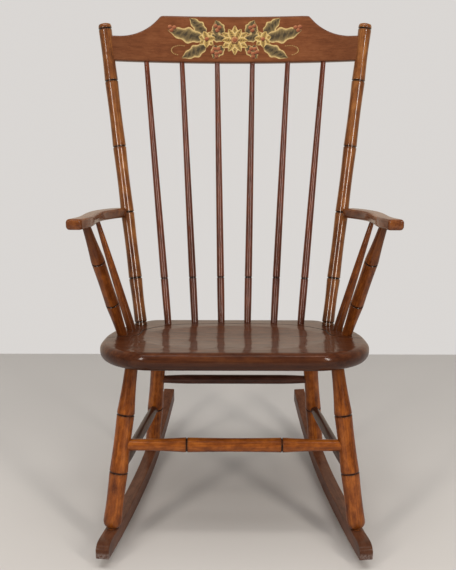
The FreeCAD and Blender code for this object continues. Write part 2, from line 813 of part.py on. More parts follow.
def main():
    os.makedirs("parts", exist_ok=True)
    pieces = {"seat": make_seat()}

    crest = make_crest()
    for index in range(spindle_count):
        foot, head = spindle_ends(index)
        pieces["back_spindle_" + str(index + 1)] = make_spindle(index)
        crest = crest.cut(socket(head, foot, spindle_top_radius, crest_socket_depth))
    pieces["crest_rail"] = crest

    pairs = {
        "back_post": make_post(),
        "arm": make_arm(),
        "arm_post": make_arm_post(),
        "arm_spindle": make_arm_spindle(),
        "leg_front": make_front_leg(),
        "leg_rear": make_rear_leg(),
        "stretcher_side": plain_stretcher(side_front_point, side_rear_point),
        "rocker": make_rocker(),
    }
    for name, shape in pairs.items():
        pieces[name + "_right"] = shape
        pieces[name + "_left"] = mirrored(shape)
    pieces["stretcher_front"] = front_stretcher()
    pieces["stretcher_rear"] = plain_stretcher(opposite(rear_stretcher_point), rear_stretcher_point)

    volume = 0.0
    moment = vec(0, 0, 0)
    for name, shape in sorted(pieces.items()):
        save(name, shape)
        volume += shape.Volume
        for solid in shape.Solids:
            moment += solid.CenterOfMass * solid.Volume
    centre = moment * (1 / volume)
    print("balance point y", round(centre.y, 1), "z", round(centre.z, 1), "litres", round(volume / 1e6, 3))


main()
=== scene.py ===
# %% [markdown]
# # A small Boston rocking chair
# Twenty-six pieces of wood, glued together: turned legs and posts with rings like bamboo, plain
# spindles, two shaped arms, a saddled seat, a bent crest rail and two rockers. The measured solids
# are loaded first. Each one is then modelled again with softer edges, real grain and varnish, in
# the place where its solid stands.

# %% Load the measured chair
import bpy
import math
from mathutils import Matrix, Vector


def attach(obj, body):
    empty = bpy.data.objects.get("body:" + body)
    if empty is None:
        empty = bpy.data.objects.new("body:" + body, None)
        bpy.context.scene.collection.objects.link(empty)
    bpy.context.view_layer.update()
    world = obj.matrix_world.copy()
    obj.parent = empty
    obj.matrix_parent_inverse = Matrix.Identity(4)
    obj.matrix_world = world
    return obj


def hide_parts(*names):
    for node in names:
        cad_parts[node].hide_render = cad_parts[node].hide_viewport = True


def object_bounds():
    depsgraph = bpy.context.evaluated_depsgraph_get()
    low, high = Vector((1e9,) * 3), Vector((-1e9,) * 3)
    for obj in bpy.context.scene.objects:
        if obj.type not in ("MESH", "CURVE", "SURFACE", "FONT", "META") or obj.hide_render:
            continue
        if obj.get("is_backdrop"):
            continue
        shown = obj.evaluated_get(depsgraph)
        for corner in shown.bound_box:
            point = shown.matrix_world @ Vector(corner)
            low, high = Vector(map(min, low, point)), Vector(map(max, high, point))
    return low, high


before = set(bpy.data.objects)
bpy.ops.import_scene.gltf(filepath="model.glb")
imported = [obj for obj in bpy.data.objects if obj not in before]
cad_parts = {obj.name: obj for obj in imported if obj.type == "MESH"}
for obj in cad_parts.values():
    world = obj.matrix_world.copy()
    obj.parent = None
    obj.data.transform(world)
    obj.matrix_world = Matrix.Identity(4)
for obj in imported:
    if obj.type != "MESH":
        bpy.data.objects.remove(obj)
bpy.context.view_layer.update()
bpy.ops.object.select_all(action="DESELECT")

# %% [markdown]
# ## Where the pieces stand
# A chair has three leaning planes. The seat falls to the back, the arms fall a little less, and
# the back leans. Each plane gets a matrix that carries a piece from a level drawing board, where
# it is easy to model, to its place in the chair. The joints of the turned pieces are then read
# from those planes.

# %% The three leaning planes
SEAT_FALL = math.radians(9.9)
ARM_FALL = math.radians(8.6)
BACK_LEAN = math.radians(16.1)
SEAT_PLANE = Matrix.Translation((0, 0, 0.342)) @ Matrix.Rotation(-SEAT_FALL, 4, "X")


def on_seat(x, y, below=0.0):
    """Point on the seat's top plane over a place on the floor, or straight below it."""
    return Vector((x, y, 0.342 - y * math.tan(SEAT_FALL) - below))


def on_arm(x, y, below=0.0):
    """Point on the arms' top plane, or straight below it."""
    return Vector((x, y, 0.6115 - (y + 0.203) * math.tan(ARM_FALL) - below))


BACK_FOOT = on_seat(0, 0.086)
BACK_PLANE = Matrix.Translation(BACK_FOOT) @ Matrix.Rotation(-BACK_LEAN, 4, "X")
SEAT_DROP = 0.033 / math.cos(SEAT_FALL)
ARM_DROP = 0.019 / math.cos(ARM_FALL)
print("back foot:", [round(v, 4) for v in BACK_FOOT])

# %% [markdown]
# ## Wood that knows its own length
# Grain runs along each piece, whichever way the piece leans. So before a piece leaves its drawing
# board, every point stores where it lies in the wood, with the third number along the grain. The
# varnish material reads that attribute. Each piece also starts in another part of the log, so no
# two pieces have the same figure.

# %% Store the grain, then set the piece down
pieces_made = []


def keep_grain(piece, order, log):
    """Store each point's place in the wood: order names the across, across and along axes."""
    grain = piece.data.attributes.new("grain", "FLOAT_VECTOR", "POINT")
    start = Vector((log * 0.731 % 1.7, log * 0.377 % 1.3, log * 0.913 % 2.9))
    for point, place in zip(piece.data.vertices, grain.data):
        place.vector = start + Vector([point.co[axis] for axis in order])


def only(piece):
    """Select this piece alone."""
    bpy.ops.object.select_all(action="DESELECT")
    piece.select_set(True)
    bpy.context.view_layer.objects.active = piece


def set_down(piece, matrix):
    """Carry a piece from its drawing board to its place, and keep that place in its mesh."""
    piece.matrix_world = matrix
    only(piece)
    bpy.ops.object.transform_apply(location=True, rotation=True, scale=True)


def finish_piece(piece, node, material, smooth=38):
    """Smooth the curved faces, give the piece its varnish and let it stand for its solid."""
    only(piece)
    bpy.ops.object.mode_set(mode="EDIT")
    bpy.ops.mesh.select_all(action="SELECT")
    bpy.ops.mesh.normals_make_consistent(inside=False)
    bpy.ops.object.mode_set(mode="OBJECT")
    bpy.ops.object.shade_smooth_by_angle(angle=math.radians(smooth))
    if material:
        piece.data.materials.clear()
        piece.data.materials.append(material)
    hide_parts(node)
    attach(piece, "root")
    pieces_made.append(piece)


def twin(piece, name):
    """The same piece for the other side: a copy with its own mesh, mirrored across the chair."""
    only(piece)
    bpy.ops.object.duplicate(linked=False)
    other = bpy.context.object
    other.name = name
    bpy.ops.object.mode_set(mode="EDIT")
    bpy.ops.mesh.select_all(action="SELECT")
    bpy.ops.transform.resize(value=(-1, 1, 1), center_override=(0, 0, 0))
    bpy.ops.object.mode_set(mode="OBJECT")
    for place in other.data.attributes["grain"].data:
        place.vector = Vector(place.vector) + Vector((0.41, 0.23, 0.67))
    return other


def finish_pair(piece, twin_name, node, material):
    """Finish a piece on the right, then its twin on the left."""
    finish_piece(piece, node + "_right", material)
    finish_piece(twin(piece, twin_name), node + "_left", material)


# %% [markdown]
# ## Varnish over stain
# Seen close, the finish has four layers: broad dark and light bands in the wood, fine streaks,
# short dark pores, and blotches where the stain took unevenly. Over them lies a clear, slightly
# wavy varnish. The first four are noise stretched along the grain. The varnish is the shader's
# coat, which keeps its own gloss. Two stored numbers vary this along a piece. The first darkens
# it: stain in turned rings, stain and painted shade near joints, painted shade under the seat and
# the arms and on the seat's lower edge, and a painted dark reflection and painted shade on the
# crest. The second lets rubbed wood through at the rockers' noses, together with a painted sheen.

# %% Helpers that add and join nodes
def new_material(name):
    """A node material with nothing but its shader and output."""
    material = bpy.data.materials.new(name)
    material.use_nodes = True
    return material, material.node_tree


def add(tree, kind, settings=None, **sockets):
    """Add a node, set its options, and set or link its inputs by name."""
    node = tree.nodes.new("ShaderNode" + kind)
    for key, value in (settings or {}).items():
        setattr(node, key, value)
    for key, value in sockets.items():
        socket = node.inputs[key.replace("_", " ")] if not key[1:].isdigit() else node.inputs[int(key[1:])]
        if isinstance(value, bpy.types.NodeSocket):
            tree.links.new(value, socket)
        else:
            socket.default_value = value
    return node


def stretched_noise(tree, grain, across, along, detail, rough=0.55, twist=0.0):
    """Noise whose features are drawn out along the grain."""
    placed = add(tree, "Mapping", Vector=grain, Scale=(across, across, along)).outputs[0]
    noise = add(tree, "TexNoise", Vector=placed, Scale=1.0, Detail=detail, Roughness=rough,
                Distortion=twist)
    return noise.outputs["Fac"]


def weigh(tree, *pairs):
    """Sum of values, each times its weight."""
    total = 0.0
    for value, weight in pairs:
        total = add(tree, "Math", {"operation": "MULTIPLY_ADD"}, _0=value, _1=weight, _2=total).outputs[0]
    return total


def rescale(tree, value, low, high, new_low, new_high):
    """Carry the range low to high over to new_low to new_high, and hold it there."""
    node = add(tree, "MapRange", Value=value, From_Min=low, From_Max=high, To_Min=new_low, To_Max=new_high)
    return node.outputs[0]


def stored(tree, name, kind="Fac"):
    """A number or vector that is stored in the mesh."""
    return add(tree, "Attribute", {"attribute_name": name}).outputs[kind]


def ramp(tree, value, stops, smooth=True):
    """Colour ramp with (place, colour) stops."""
    node = add(tree, "ValToRGB", Fac=value)
    node.color_ramp.interpolation = "EASE" if smooth else "LINEAR"
    points = node.color_ramp.elements
    while len(points) < len(stops):
        points.new(0.5)
    for point, (place, colour) in zip(points, stops):
        point.position = place
        point.color = (*colour, 1)
    return node.outputs[0]


def colour_mix(tree, share, below, above, blend="MIX"):
    """Mix two colours."""
    node = add(tree, "Mix", {"data_type": "RGBA", "blend_type": blend}, _0=share, _6=below, _7=above)
    return node.outputs[2]


# %% The varnished wood itself
# Near-black that stain and painted shade take the wood towards.
STAIN_AND_SHADE_BLACK = (0.007, 0.003, 0.002, 1)
# Greyish bare wood, also a painted sheen on the rockers' noses.
BARE_WOOD_AND_SHEEN = (0.19, 0.145, 0.13, 1)


def varnished_wood(name, dark, middle, light, figure=1.0, blotch=1.0, gloss=1.0, wave=0.12, satin=0.11):
    """Stained wood under clear varnish. Stored stain and painted shade darken it, to near-black in turned
    rings.
    """
    material, tree = new_material(name)
    shader = tree.nodes["Principled BSDF"]
    grain = stored(tree, "grain", "Vector")
    bands = stretched_noise(tree, grain, 70, 3.0, 3, twist=0.6)
    streaks = stretched_noise(tree, grain, 430, 14, 3)
    blotches = stretched_noise(tree, grain, 75, 38, 5, rough=0.66)
    pores = stretched_noise(tree, grain, 1500, 110, 2)
    tone = weigh(tree, (bands, 0.36 * figure), (streaks, 0.30 * figure), (blotches, 0.40 * blotch))
    middle_tone = 0.5 * (0.66 * figure + 0.40 * blotch)
    centred = add(tree, "Math", {"operation": "SUBTRACT"}, _0=tone, _1=middle_tone).outputs[0]
    contrast = add(tree, "Math", {"operation": "MULTIPLY_ADD"}, _0=centred, _1=2.2, _2=0.5).outputs[0]
    wood = ramp(tree, contrast, [(0.10, dark), (0.50, middle), (0.90, light)], smooth=False)
    pored = colour_mix(tree, rescale(tree, pores, 0.60, 0.74, 0.0, 0.6), wood, (*[c * 0.4 for c in dark], 1))
    uneven = rescale(tree, blotches, 0.35, 0.65, 0.6, 1.15)
    # The stored number is stain in turned rings, and painted shade and a painted dark reflection elsewhere.
    darkness = add(tree, "Math", {"operation": "MULTIPLY", "use_clamp": True}, _0=stored(tree, "stain_and_shade"),
                   _1=uneven).outputs[0]
    stained_and_shaded = colour_mix(tree, darkness, pored, STAIN_AND_SHADE_BLACK)
    # Rubbed bare wood, with a painted sheen, where the stored wear allows.
    rub_and_sheen = stretched_noise(tree, grain, 300, 160, 4, rough=0.7)
    bare_and_sheen = add(tree, "Math", {"operation": "MULTIPLY"}, _0=stored(tree, "worn_and_sheen"),
               _1=rescale(tree, rub_and_sheen, 0.40, 0.60, 0.0, 1.0)).outputs[0]
    tree.links.new(colour_mix(tree, bare_and_sheen, stained_and_shaded, BARE_WOOD_AND_SHEEN), shader.inputs["Base Color"])
    relief = weigh(tree, (streaks, 0.5), (pores, 0.5))
    bump = add(tree, "Bump", Strength=0.22, Distance=0.0004, Height=relief)
    tree.links.new(bump.outputs[0], shader.inputs["Normal"])
    swell = stretched_noise(tree, grain, 26, 20, 1)
    coat_bump = add(tree, "Bump", Strength=wave, Distance=0.003, Height=swell)
    tree.links.new(coat_bump.outputs[0], shader.inputs["Coat Normal"])
    shader.inputs["Roughness"].default_value = 0.42
    shader.inputs["Specular IOR Level"].default_value = 0.04
    shader.inputs["Coat Weight"].default_value = gloss
    shader.inputs["Coat Roughness"].default_value = satin
    shader.inputs["Coat IOR"].default_value = 1.54
    return material


# %% Finishes of this chair
RUST = varnished_wood(
    "rust_varnish", (0.065, 0.015, 0.004), (0.215, 0.056, 0.009), (0.39, 0.118, 0.017),
    figure=1.1, blotch=1.6, gloss=0.40)
RUSSET = varnished_wood(
    "russet_varnish", (0.055, 0.012, 0.004), (0.155, 0.042, 0.009), (0.30, 0.088, 0.014),
    figure=1.0, blotch=1.5, gloss=0.40)
GOLD = varnished_wood(
    "gold_varnish", (0.060, 0.015, 0.005), (0.185, 0.060, 0.014), (0.34, 0.135, 0.036),
    figure=1.2, blotch=1.6, gloss=1.0, satin=0.09)
CREST = varnished_wood(
    "crest_varnish", (0.090, 0.027, 0.010), (0.165, 0.054, 0.020), (0.25, 0.092, 0.036),
    figure=0.8, blotch=1.0, gloss=0.5)
ARM = varnished_wood(
    "arm_varnish", (0.045, 0.012, 0.005), (0.135, 0.039, 0.011), (0.24, 0.080, 0.020),
    figure=1.0, blotch=1.2, gloss=0.5)
SEAT = varnished_wood(
    "seat_varnish", (0.026, 0.007, 0.003), (0.072, 0.020, 0.007), (0.140, 0.044, 0.014),
    figure=1.0, blotch=1.1, gloss=0.40, wave=0.6, satin=0.12)
SPINDLE = varnished_wood(
    "spindle_varnish", (0.040, 0.009, 0.004), (0.104, 0.024, 0.010), (0.19, 0.052, 0.021),
    figure=1.1, blotch=1.0, gloss=0.75, satin=0.10)
ROCKER = varnished_wood(
    "rocker_varnish", (0.050, 0.017, 0.009), (0.122, 0.044, 0.021), (0.19, 0.076, 0.038),
    figure=0.9, blotch=1.1, gloss=0.25, satin=0.16)
DARK = varnished_wood(
    "dark_varnish", (0.022, 0.008, 0.005), (0.062, 0.022, 0.013), (0.110, 0.044, 0.026),
    figure=0.9, blotch=0.9, gloss=0.45)
# Near-black material for the inside of the seat's gutter channel.
GUTTER = varnished_wood(
    "gutter_near_black", (0.006, 0.003, 0.002), (0.012, 0.005, 0.003), (0.024, 0.010, 0.006), gloss=0.1)
print("finishes:", [m.name for m in (RUST, RUSSET, GOLD, CREST, ARM, SEAT, SPINDLE, ROCKER, DARK, GUTTER)])

# %% [markdown]
# ## Turning on the lathe
# A turner cuts a square billet to one profile after another along its length. The same thing in
# Blender is a disc that is extruded along its axis from station to station and resized at each.
# A spun profile would give the same surface, but extruding keeps every ring of points level with
# its station, so the ring groove can be marked while it is made. Between two bamboo rings the wood
# necks in by less than a millimetre. A station is (distance, radius, stain and painted shade).

# %% Profiles
RING_DEPTH = 0.0012


def bay(start, end, bow, steps=5):
    """Stations between two (distance, radius) points, bowed in or out half way."""
    stations = []
    for step in range(1, steps):
        share = step / steps
        distance = start[0] + (end[0] - start[0]) * share
        radius = start[1] + (end[1] - start[1]) * share + bow * math.sin(math.pi * share)
        stations.append((distance, radius, 0.0))
    return stations


def ring_groove(distance, radius, depth=RING_DEPTH):
    """A V groove with soft lips; the third number marks its dark floor and the stain beside it."""
    lip = radius + 0.0002
    before = [(0.0060, radius, 0.0), (0.0040, radius, 0.12), (0.0022, lip, 0.25),
              (0.0015, lip - 0.0003, 0.85), (0.0007, radius - depth, 1.0)]
    return ([(distance - out, size, mark) for out, size, mark in before]
            + [(distance + out, size, mark) for out, size, mark in reversed(before)])


def bamboo(start, rings, end, waist):
    """Profile from start over the rings to end, with a waist in each bay."""
    stations = [(*start, 0.0)]
    here = start
    for distance, radius in rings:
        groove = ring_groove(distance, radius)
        stations += bay(here, groove[0][:2], -waist) + groove
        here = groove[-1][:2]
    stations += bay(here, end, -waist) + [(*end, 0.0)]
    return stations


def darken(profile, place, reach, amount):
    """Let the stain and painted shade deepen towards a place on the piece."""
    return [(d, r, max(mark, amount * max(0.0, 1 - abs(d - place) / reach))) for d, r, mark in profile]


# %% The lathe
def turn(name, profile, log, sides=40):
    """Extrude and resize a disc through (distance, radius, stain and painted shade) stations along +Z."""
    distance, radius, mark = profile[0]
    bpy.ops.object.select_all(action="DESELECT")
    bpy.ops.mesh.primitive_circle_add(vertices=sides, radius=radius, fill_type="NGON",
                                      location=(0, 0, distance))
    piece = bpy.context.object
    piece.name = name
    bpy.ops.object.transform_apply(location=True)
    bpy.ops.object.mode_set(mode="EDIT")
    bpy.ops.mesh.select_all(action="SELECT")
    for station in profile[1:]:
        step = station[0] - distance
        grow = station[1] / radius
        bpy.ops.mesh.extrude_region_move(TRANSFORM_OT_translate={"value": (0, 0, step)})
        bpy.ops.transform.resize(value=(grow, grow, 1), center_override=(0, 0, station[0]))
        distance, radius = station[:2]
    bpy.ops.object.mode_set(mode="OBJECT")
    stain_and_shade = piece.data.attributes.new("stain_and_shade", "FLOAT", "POINT")
    marks = {round(s[0], 5): s[2] for s in profile}
    for point, mark in zip(piece.data.vertices, stain_and_shade.data):
        mark.value = marks.get(round(point.co.z, 5), 0.0)
    keep_grain(piece, (0, 1, 2), log)
    return piece


def stand(piece, foot, head):
    """Set a turned piece down so that its +Z runs from foot to head."""
    lean = (head - foot).to_track_quat("Z", "Y").to_matrix().to_4x4()
    set_down(piece, Matrix.Translation(foot) @ lean)


# %% [markdown]
# ## Rockers
# The rockers are boards sawn to a curve, flatter in front and tighter behind, and rubbed bare at
# the nose where feet have pushed them, with a painted sheen on that bare patch. A board is lofted
# here from its front end: a square face is extruded from one section to the next and resized to
# the board's depth there. The long edges are then found by their angle and bevelled.

# %% A board lofted from section to section
def loft(name, along, sections):
    """Extrude a square face through sections, each (place, centre a, centre b, size a, size b)."""
    across = [axis for axis in range(3) if axis != along]
    turn_face = {0: (0, math.pi / 2, 0), 1: (math.pi / 2, 0, 0), 2: (0, 0, 0)}[along]
    bpy.ops.object.select_all(action="DESELECT")
    bpy.ops.mesh.primitive_plane_add(size=1, rotation=turn_face)
    piece = bpy.context.object
    piece.name = name
    bpy.ops.object.transform_apply(location=True, rotation=True)
    bpy.ops.object.mode_set(mode="EDIT")
    bpy.ops.mesh.select_all(action="SELECT")
    here = [0.0, 0.0, 0.0]
    size = [1.0, 1.0, 1.0]
    for index, (place, centre_a, centre_b, size_a, size_b) in enumerate(sections):
        target = [0.0, 0.0, 0.0]
        target[along], target[across[0]], target[across[1]] = place, centre_a, centre_b
        wanted = [1.0, 1.0, 1.0]
        wanted[across[0]], wanted[across[1]] = size_a, size_b
        move = [t - h for t, h in zip(target, here)]
        if index == 0:
            bpy.ops.transform.translate(value=move)
        else:
            bpy.ops.mesh.extrude_region_move(TRANSFORM_OT_translate={"value": move})
        grow = [w / s for w, s in zip(wanted, size)]
        bpy.ops.transform.resize(value=grow, center_override=target)
        here, size = target, wanted
    bpy.ops.mesh.select_all(action="SELECT")
    bpy.ops.mesh.normals_make_consistent(inside=False)
    bpy.ops.object.mode_set(mode="OBJECT")
    return piece


def ease_edges(piece, width, segments=4, sharper_than=50):
    """Round over every edge that is sharper than an angle."""
    only(piece)
    bpy.ops.object.mode_set(mode="EDIT")
    bpy.ops.mesh.select_mode(type="EDGE")
    bpy.ops.mesh.select_all(action="DESELECT")
    bpy.ops.mesh.edges_select_sharp(sharpness=math.radians(sharper_than))
    bpy.ops.mesh.bevel(offset=width, segments=segments, affect="EDGES", clamp_overlap=True)
    bpy.ops.object.mode_set(mode="OBJECT")


def soften(piece, levels=1):
    """Subdivide once, so that the curves between sections are smooth."""
    only(piece)
    modifier = piece.modifiers.new("smooth", "SUBSURF")
    modifier.levels = modifier.render_levels = levels
    bpy.ops.object.modifier_apply(modifier=modifier.name)


# %% The rockers' two curves
HALF_GAUGE, TOE_IN = 0.194, 0.130
ROCKER_FRONT, ROCKER_BACK = -0.2979, 0.3189


def rocker_x(y):
    return HALF_GAUGE - TOE_IN * y


def rocker_bottom(y):
    radius = 2.39 if y < 0 else 0.85
    reach = y * math.hypot(1, TOE_IN)
    return radius - math.sqrt(radius * radius - reach * reach)


def rocker_top(y):
    end_depth, share = (0.0295, y / ROCKER_FRONT) if y < 0 else (0.028, y / ROCKER_BACK)
    return rocker_bottom(y) + 0.028 + (end_depth - 0.028) * share * share


ROCKER_THICK = 0.024
NOSE = ((ROCKER_FRONT, 0.015), (-0.2965, 0.0185), (-0.2935, 0.0222), (-0.289, 0.0255), (-0.283, 0.0282))
nose_end = ROCKER_FRONT + 0.021
sections = []
for y, high in NOSE:
    sections.append((y, 0, rocker_bottom(y) + high / 2, ROCKER_THICK, high))
for step in range(27):
    y = nose_end + (ROCKER_BACK - nose_end) * step / 26
    low, top = rocker_bottom(y), rocker_top(y)
    sections.append((y, 0, (low + top) / 2, ROCKER_THICK, top - low))
stretch = math.hypot(1, TOE_IN)
sections = [(s[0] * stretch, *s[1:]) for s in sections]
rocker = loft("rocker_board_right", 1, sections)
ease_edges(rocker, 0.0026)
soften(rocker)
keep_grain(rocker, (0, 2, 1), 3)
# Lower front of the nose: rubbed bare wood with a painted sheen; the nose is also darker towards its end.
worn_and_sheen = rocker.data.attributes.new("worn_and_sheen", "FLOAT", "POINT")
stain_and_shade = rocker.data.attributes.new("stain_and_shade", "FLOAT", "POINT")
for point, rubbed_and_sheen, darker in zip(rocker.data.vertices, worn_and_sheen.data, stain_and_shade.data):
    behind = point.co.y / stretch - ROCKER_FRONT
    low = 1 - abs(point.co.z - rocker_bottom(ROCKER_FRONT) - 0.005) / 0.008
    rubbed_and_sheen.value = max(0.0, min(1.0, 1 - behind / 0.009)) * max(0.0, min(1.0, 1.6 * low))
    darker.value = 0.45 * max(0.0, min(1.0, 1.6 - behind / 0.030))
set_down(rocker, Matrix.Translation((HALF_GAUGE, 0, 0)) @ Matrix.Rotation(math.atan(TOE_IN), 4, "Z"))
finish_pair(rocker, "rocker_board_left", "rocker", ROCKER)
print("rocker points:", len(rocker.data.vertices), "top at the back:", round(rocker_top(ROCKER_BACK), 4))

# %% [markdown]
# ## Legs
# The legs splay both ways and stand in the rockers on short tenons. Each has a rounded foot, two
# bamboo rings and a slim top that goes into the seat.

# %% Turn the four legs
SEAT_TENON, ARM_TENON, CREST_TENON = 0.022, 0.012, 0.019
front_foot = Vector((rocker_x(-0.2285), -0.2285, rocker_top(-0.2285)))
front_head = on_seat(0.1845, -0.173, SEAT_DROP)
rear_foot = Vector((rocker_x(0.130), 0.130, rocker_top(0.130)))
rear_head = on_seat(0.1525, 0.067, SEAT_DROP)


def leg_profile(span, shares, radii, foot_radius, top_radius):
    """Tenon, neck, rounded foot, bamboo rings and upper tenon."""
    tenon, neck, rounding = 0.008, 0.003, 0.013
    stations = [(-0.016, tenon, 0.0), (0.0, tenon, 0.3), (neck, tenon, 1.0)]
    for step in range(1, 7):
        angle = math.pi / 2 * step / 6
        stations.append((neck + rounding * (1 - math.cos(angle)),
                         tenon + (foot_radius - tenon) * math.sin(angle), 0.0))
    rings = [(span * share, radius) for share, radius in zip(shares, radii)]
    stations += bamboo(stations[-1][:2], rings, (span, top_radius), 0.0009)[1:]
    return stations + [(span + SEAT_TENON, top_radius, 0.0)]


legs = (("front", front_foot, front_head, (0.35, 0.70), (0.0167, 0.0159), 0.0168, 0.0114),
        ("rear", rear_foot, rear_head, (0.38, 0.78), (0.0162, 0.0152), 0.0162, 0.0122))
for log, (place, foot, head, shares, radii, foot_radius, top_radius) in enumerate(legs, 11):
    profile = leg_profile((head - foot).length, shares, radii, foot_radius, top_radius)
    # Darker at the foot, partly stain and partly painted shade where it stands in the rocker; painted shade
    # at the top, under the seat.
    profile = darken(darken(profile, 0.003, 0.030, 0.35), (head - foot).length, 0.090, 0.40)
    leg = turn("turned_leg_" + place + "_right", profile, log)
    stand(leg, foot, head)
    finish_pair(leg, "turned_leg_" + place + "_left", "leg_" + place, RUST)
    print(place, "leg:", round((head - foot).length, 4), "m,", len(profile), "stations")

# %% [markdown]
# ## Stretchers
# Four stretchers tie the legs. The front one is turned with two rings like the legs. The side and
# rear ones are plain rods that swell a little in the middle. Each runs into the leg at both ends,
# so it is simply made from one leg's axis to the other's.

# %% Turn the four stretchers
front_joint = front_foot.lerp(front_head, 0.515)
rear_joint = rear_foot.lerp(rear_head, 0.65)
side_front = front_foot.lerp(front_head, 0.35)
side_rear = rear_foot.lerp(rear_head, 0.38)


def opposite(point):
    return Vector((-point.x, point.y, point.z))


span = front_joint.x * 2 - 0.004
rings = [(span / 2 - 0.086, 0.0132), (span / 2 + 0.086, 0.0132)]
profile = [(0.0, 0.0106, 0.0)] + bamboo((0.017, 0.0106), rings, (span - 0.017, 0.0106), 0.0009)
front_stretcher = turn("turned_front_stretcher", profile + [(span, 0.0106, 0.0)], 21)
stand(front_stretcher, opposite(front_joint) + Vector((0.002, 0, 0)), front_joint)
finish_piece(front_stretcher, "stretcher_front", RUST)


def plain_profile(span):
    """A rod that swells quickly from its tenons and runs nearly straight between."""
    start, end = (0.017, 0.008), (0.062, 0.0096)
    far_start, far_end = (span - 0.062, 0.0096), (span - 0.017, 0.008)
    return ([(0.0, 0.008, 0.0), (*start, 0.0)] + bay(start, end, 0.0003) + [(*end, 0.0), (*far_start, 0.0)]
            + bay(far_start, far_end, 0.0003) + [(*far_end, 0.0), (span, 0.008, 0.0)])


def inset_ends(a, b, inset=0.002):
    """Ends of a stretcher between two leg axes, each stopping short of its axis."""
    step = (b - a).normalized() * inset
    return a + step, b - step


start, end = inset_ends(opposite(rear_joint), rear_joint)
rear_stretcher = turn("plain_rear_stretcher", plain_profile((end - start).length), 22)
stand(rear_stretcher, start, end)
finish_piece(rear_stretcher, "stretcher_rear", DARK)
start, end = inset_ends(side_front, side_rear)
side_stretcher = turn("plain_side_stretcher_right", plain_profile((end - start).length), 23)
stand(side_stretcher, start, end)
finish_pair(side_stretcher, "plain_side_stretcher_left", "stretcher_side", DARK)
print("front stretcher:", round(span, 4), "m")

# %% [markdown]
# ## Back posts and spindles
# The two posts carry five rings each and a sixth close under their tops. The six spindles between
# them are thin, with one ring a hand's breadth above the seat, and they fan out to the crest rail.

# %% Turn the posts
POST_LENGTH, POST_RADIUS = 0.623, 0.0134
post_foot = BACK_PLANE @ Vector((0.1915, 0, 0))
post_top = BACK_PLANE @ Vector((0.2684, 0, POST_LENGTH))
post_span = (post_top - post_foot).length
rings = [(0.006, 0.0126)] + [(0.097 + 0.1357 * k, POST_RADIUS) for k in range(4)]
profile = [(-SEAT_TENON, 0.0120, 0.0)] + bamboo((-0.001, 0.0120), rings, (0.6045, POST_RADIUS), 0.0009)
profile += ring_groove(0.6115, POST_RADIUS)[1:]
for angle in (30, 60, 90):
    share = math.radians(angle)
    profile.append((0.619 + 0.004 * math.sin(share), POST_RADIUS - 0.0094 * (1 - math.cos(share)), 0.0))
# Darker at the foot where the post enters the seat: partly stain, partly painted shade.
profile = darken(profile, 0.0, 0.045, 0.75)
post = turn("turned_back_post_right", profile, 31)
stand(post, post_foot, post_top)
finish_pair(post, "turned_back_post_left", "back_post", GOLD)

# %% Turn three spindles and mirror them
CREST_LOW, CREST_TALL = 0.5425, 0.0955
CREST_CHORD = 0.1915 + (0.2684 - 0.1915) * CREST_LOW / POST_LENGTH
CREST_RADIUS = (CREST_CHORD ** 2 + 0.024 ** 2) / (2 * 0.024)


def crest_setback(x):
    """How far the crest board's middle lies behind the posts' plane."""
    return 0.024 - CREST_RADIUS + math.sqrt(CREST_RADIUS ** 2 - x * x)


for index in range(3):
    place = 2.5 - index
    x_seat, x_crest = place * 0.055, place * 0.073
    bow = 0.450 - math.sqrt(0.450 ** 2 - x_seat ** 2)
    foot = on_seat(x_seat, 0.086 + 0.041 - bow)
    head = BACK_PLANE @ Vector((x_crest, crest_setback(x_crest), CREST_LOW))
    span = (head - foot).length
    start, end = (0.0, 0.0071), (span, 0.0051)
    groove = ring_groove(0.094, 0.0076, 0.0008)
    profile = [(-SEAT_TENON, start[1], 0.0), (*start, 0.0)] + bay(start, groove[0][:2], 0.0002) + groove
    profile += bay(groove[-1][:2], end, 0.0002, steps=8) + [(*end, 0.0), (span + CREST_TENON, end[1], 0.0)]
    # Darker at the foot where the spindle enters the seat: partly stain, partly painted shade.
    profile = darken(profile, 0.0, 0.040, 0.5)
    right, left = str(6 - index), str(1 + index)
    spindle = turn("back_rod_" + right, profile, 41 + index, sides=28)
    stand(spindle, foot, head)
    finish_piece(spindle, "back_spindle_" + right, SPINDLE)
    finish_piece(twin(spindle, "back_rod_" + left), "back_spindle_" + left, SPINDLE)
print("post:", round(post_span, 4), "m, crest bend radius:", round(CREST_RADIUS, 3), "m")

# %% [markdown]
# ## Crest rail
# The crest is one board, bent over steam so that it is hollow to the sitter's back, and scooped
# down at both ends. It is lofted from end to end in the back's own plane: each section is as tall
# as the outline there and stands as far back as the bend puts it. A painted dark reflection lies
# along its rounded rim, and painted shade darkens it towards both ends.

# %% Loft the crest
FLAT_HALF, SCOOP_REACH, END_TALL, CREST_THICK = 0.153, 0.087, 0.051, 0.016
scoop_drop = CREST_TALL - END_TALL
scoop_radius = (SCOOP_REACH ** 2 + scoop_drop ** 2) / (2 * scoop_drop)


def crest_top(x):
    """Height of the crest's upper edge in the plane of the back."""
    x = abs(x)
    if x <= FLAT_HALF:
        return CREST_LOW + CREST_TALL
    if x >= FLAT_HALF + SCOOP_REACH:
        return CREST_LOW + END_TALL
    still_to_go = FLAT_HALF + SCOOP_REACH - x
    return CREST_LOW + END_TALL + scoop_radius - math.sqrt(scoop_radius ** 2 - still_to_go ** 2)


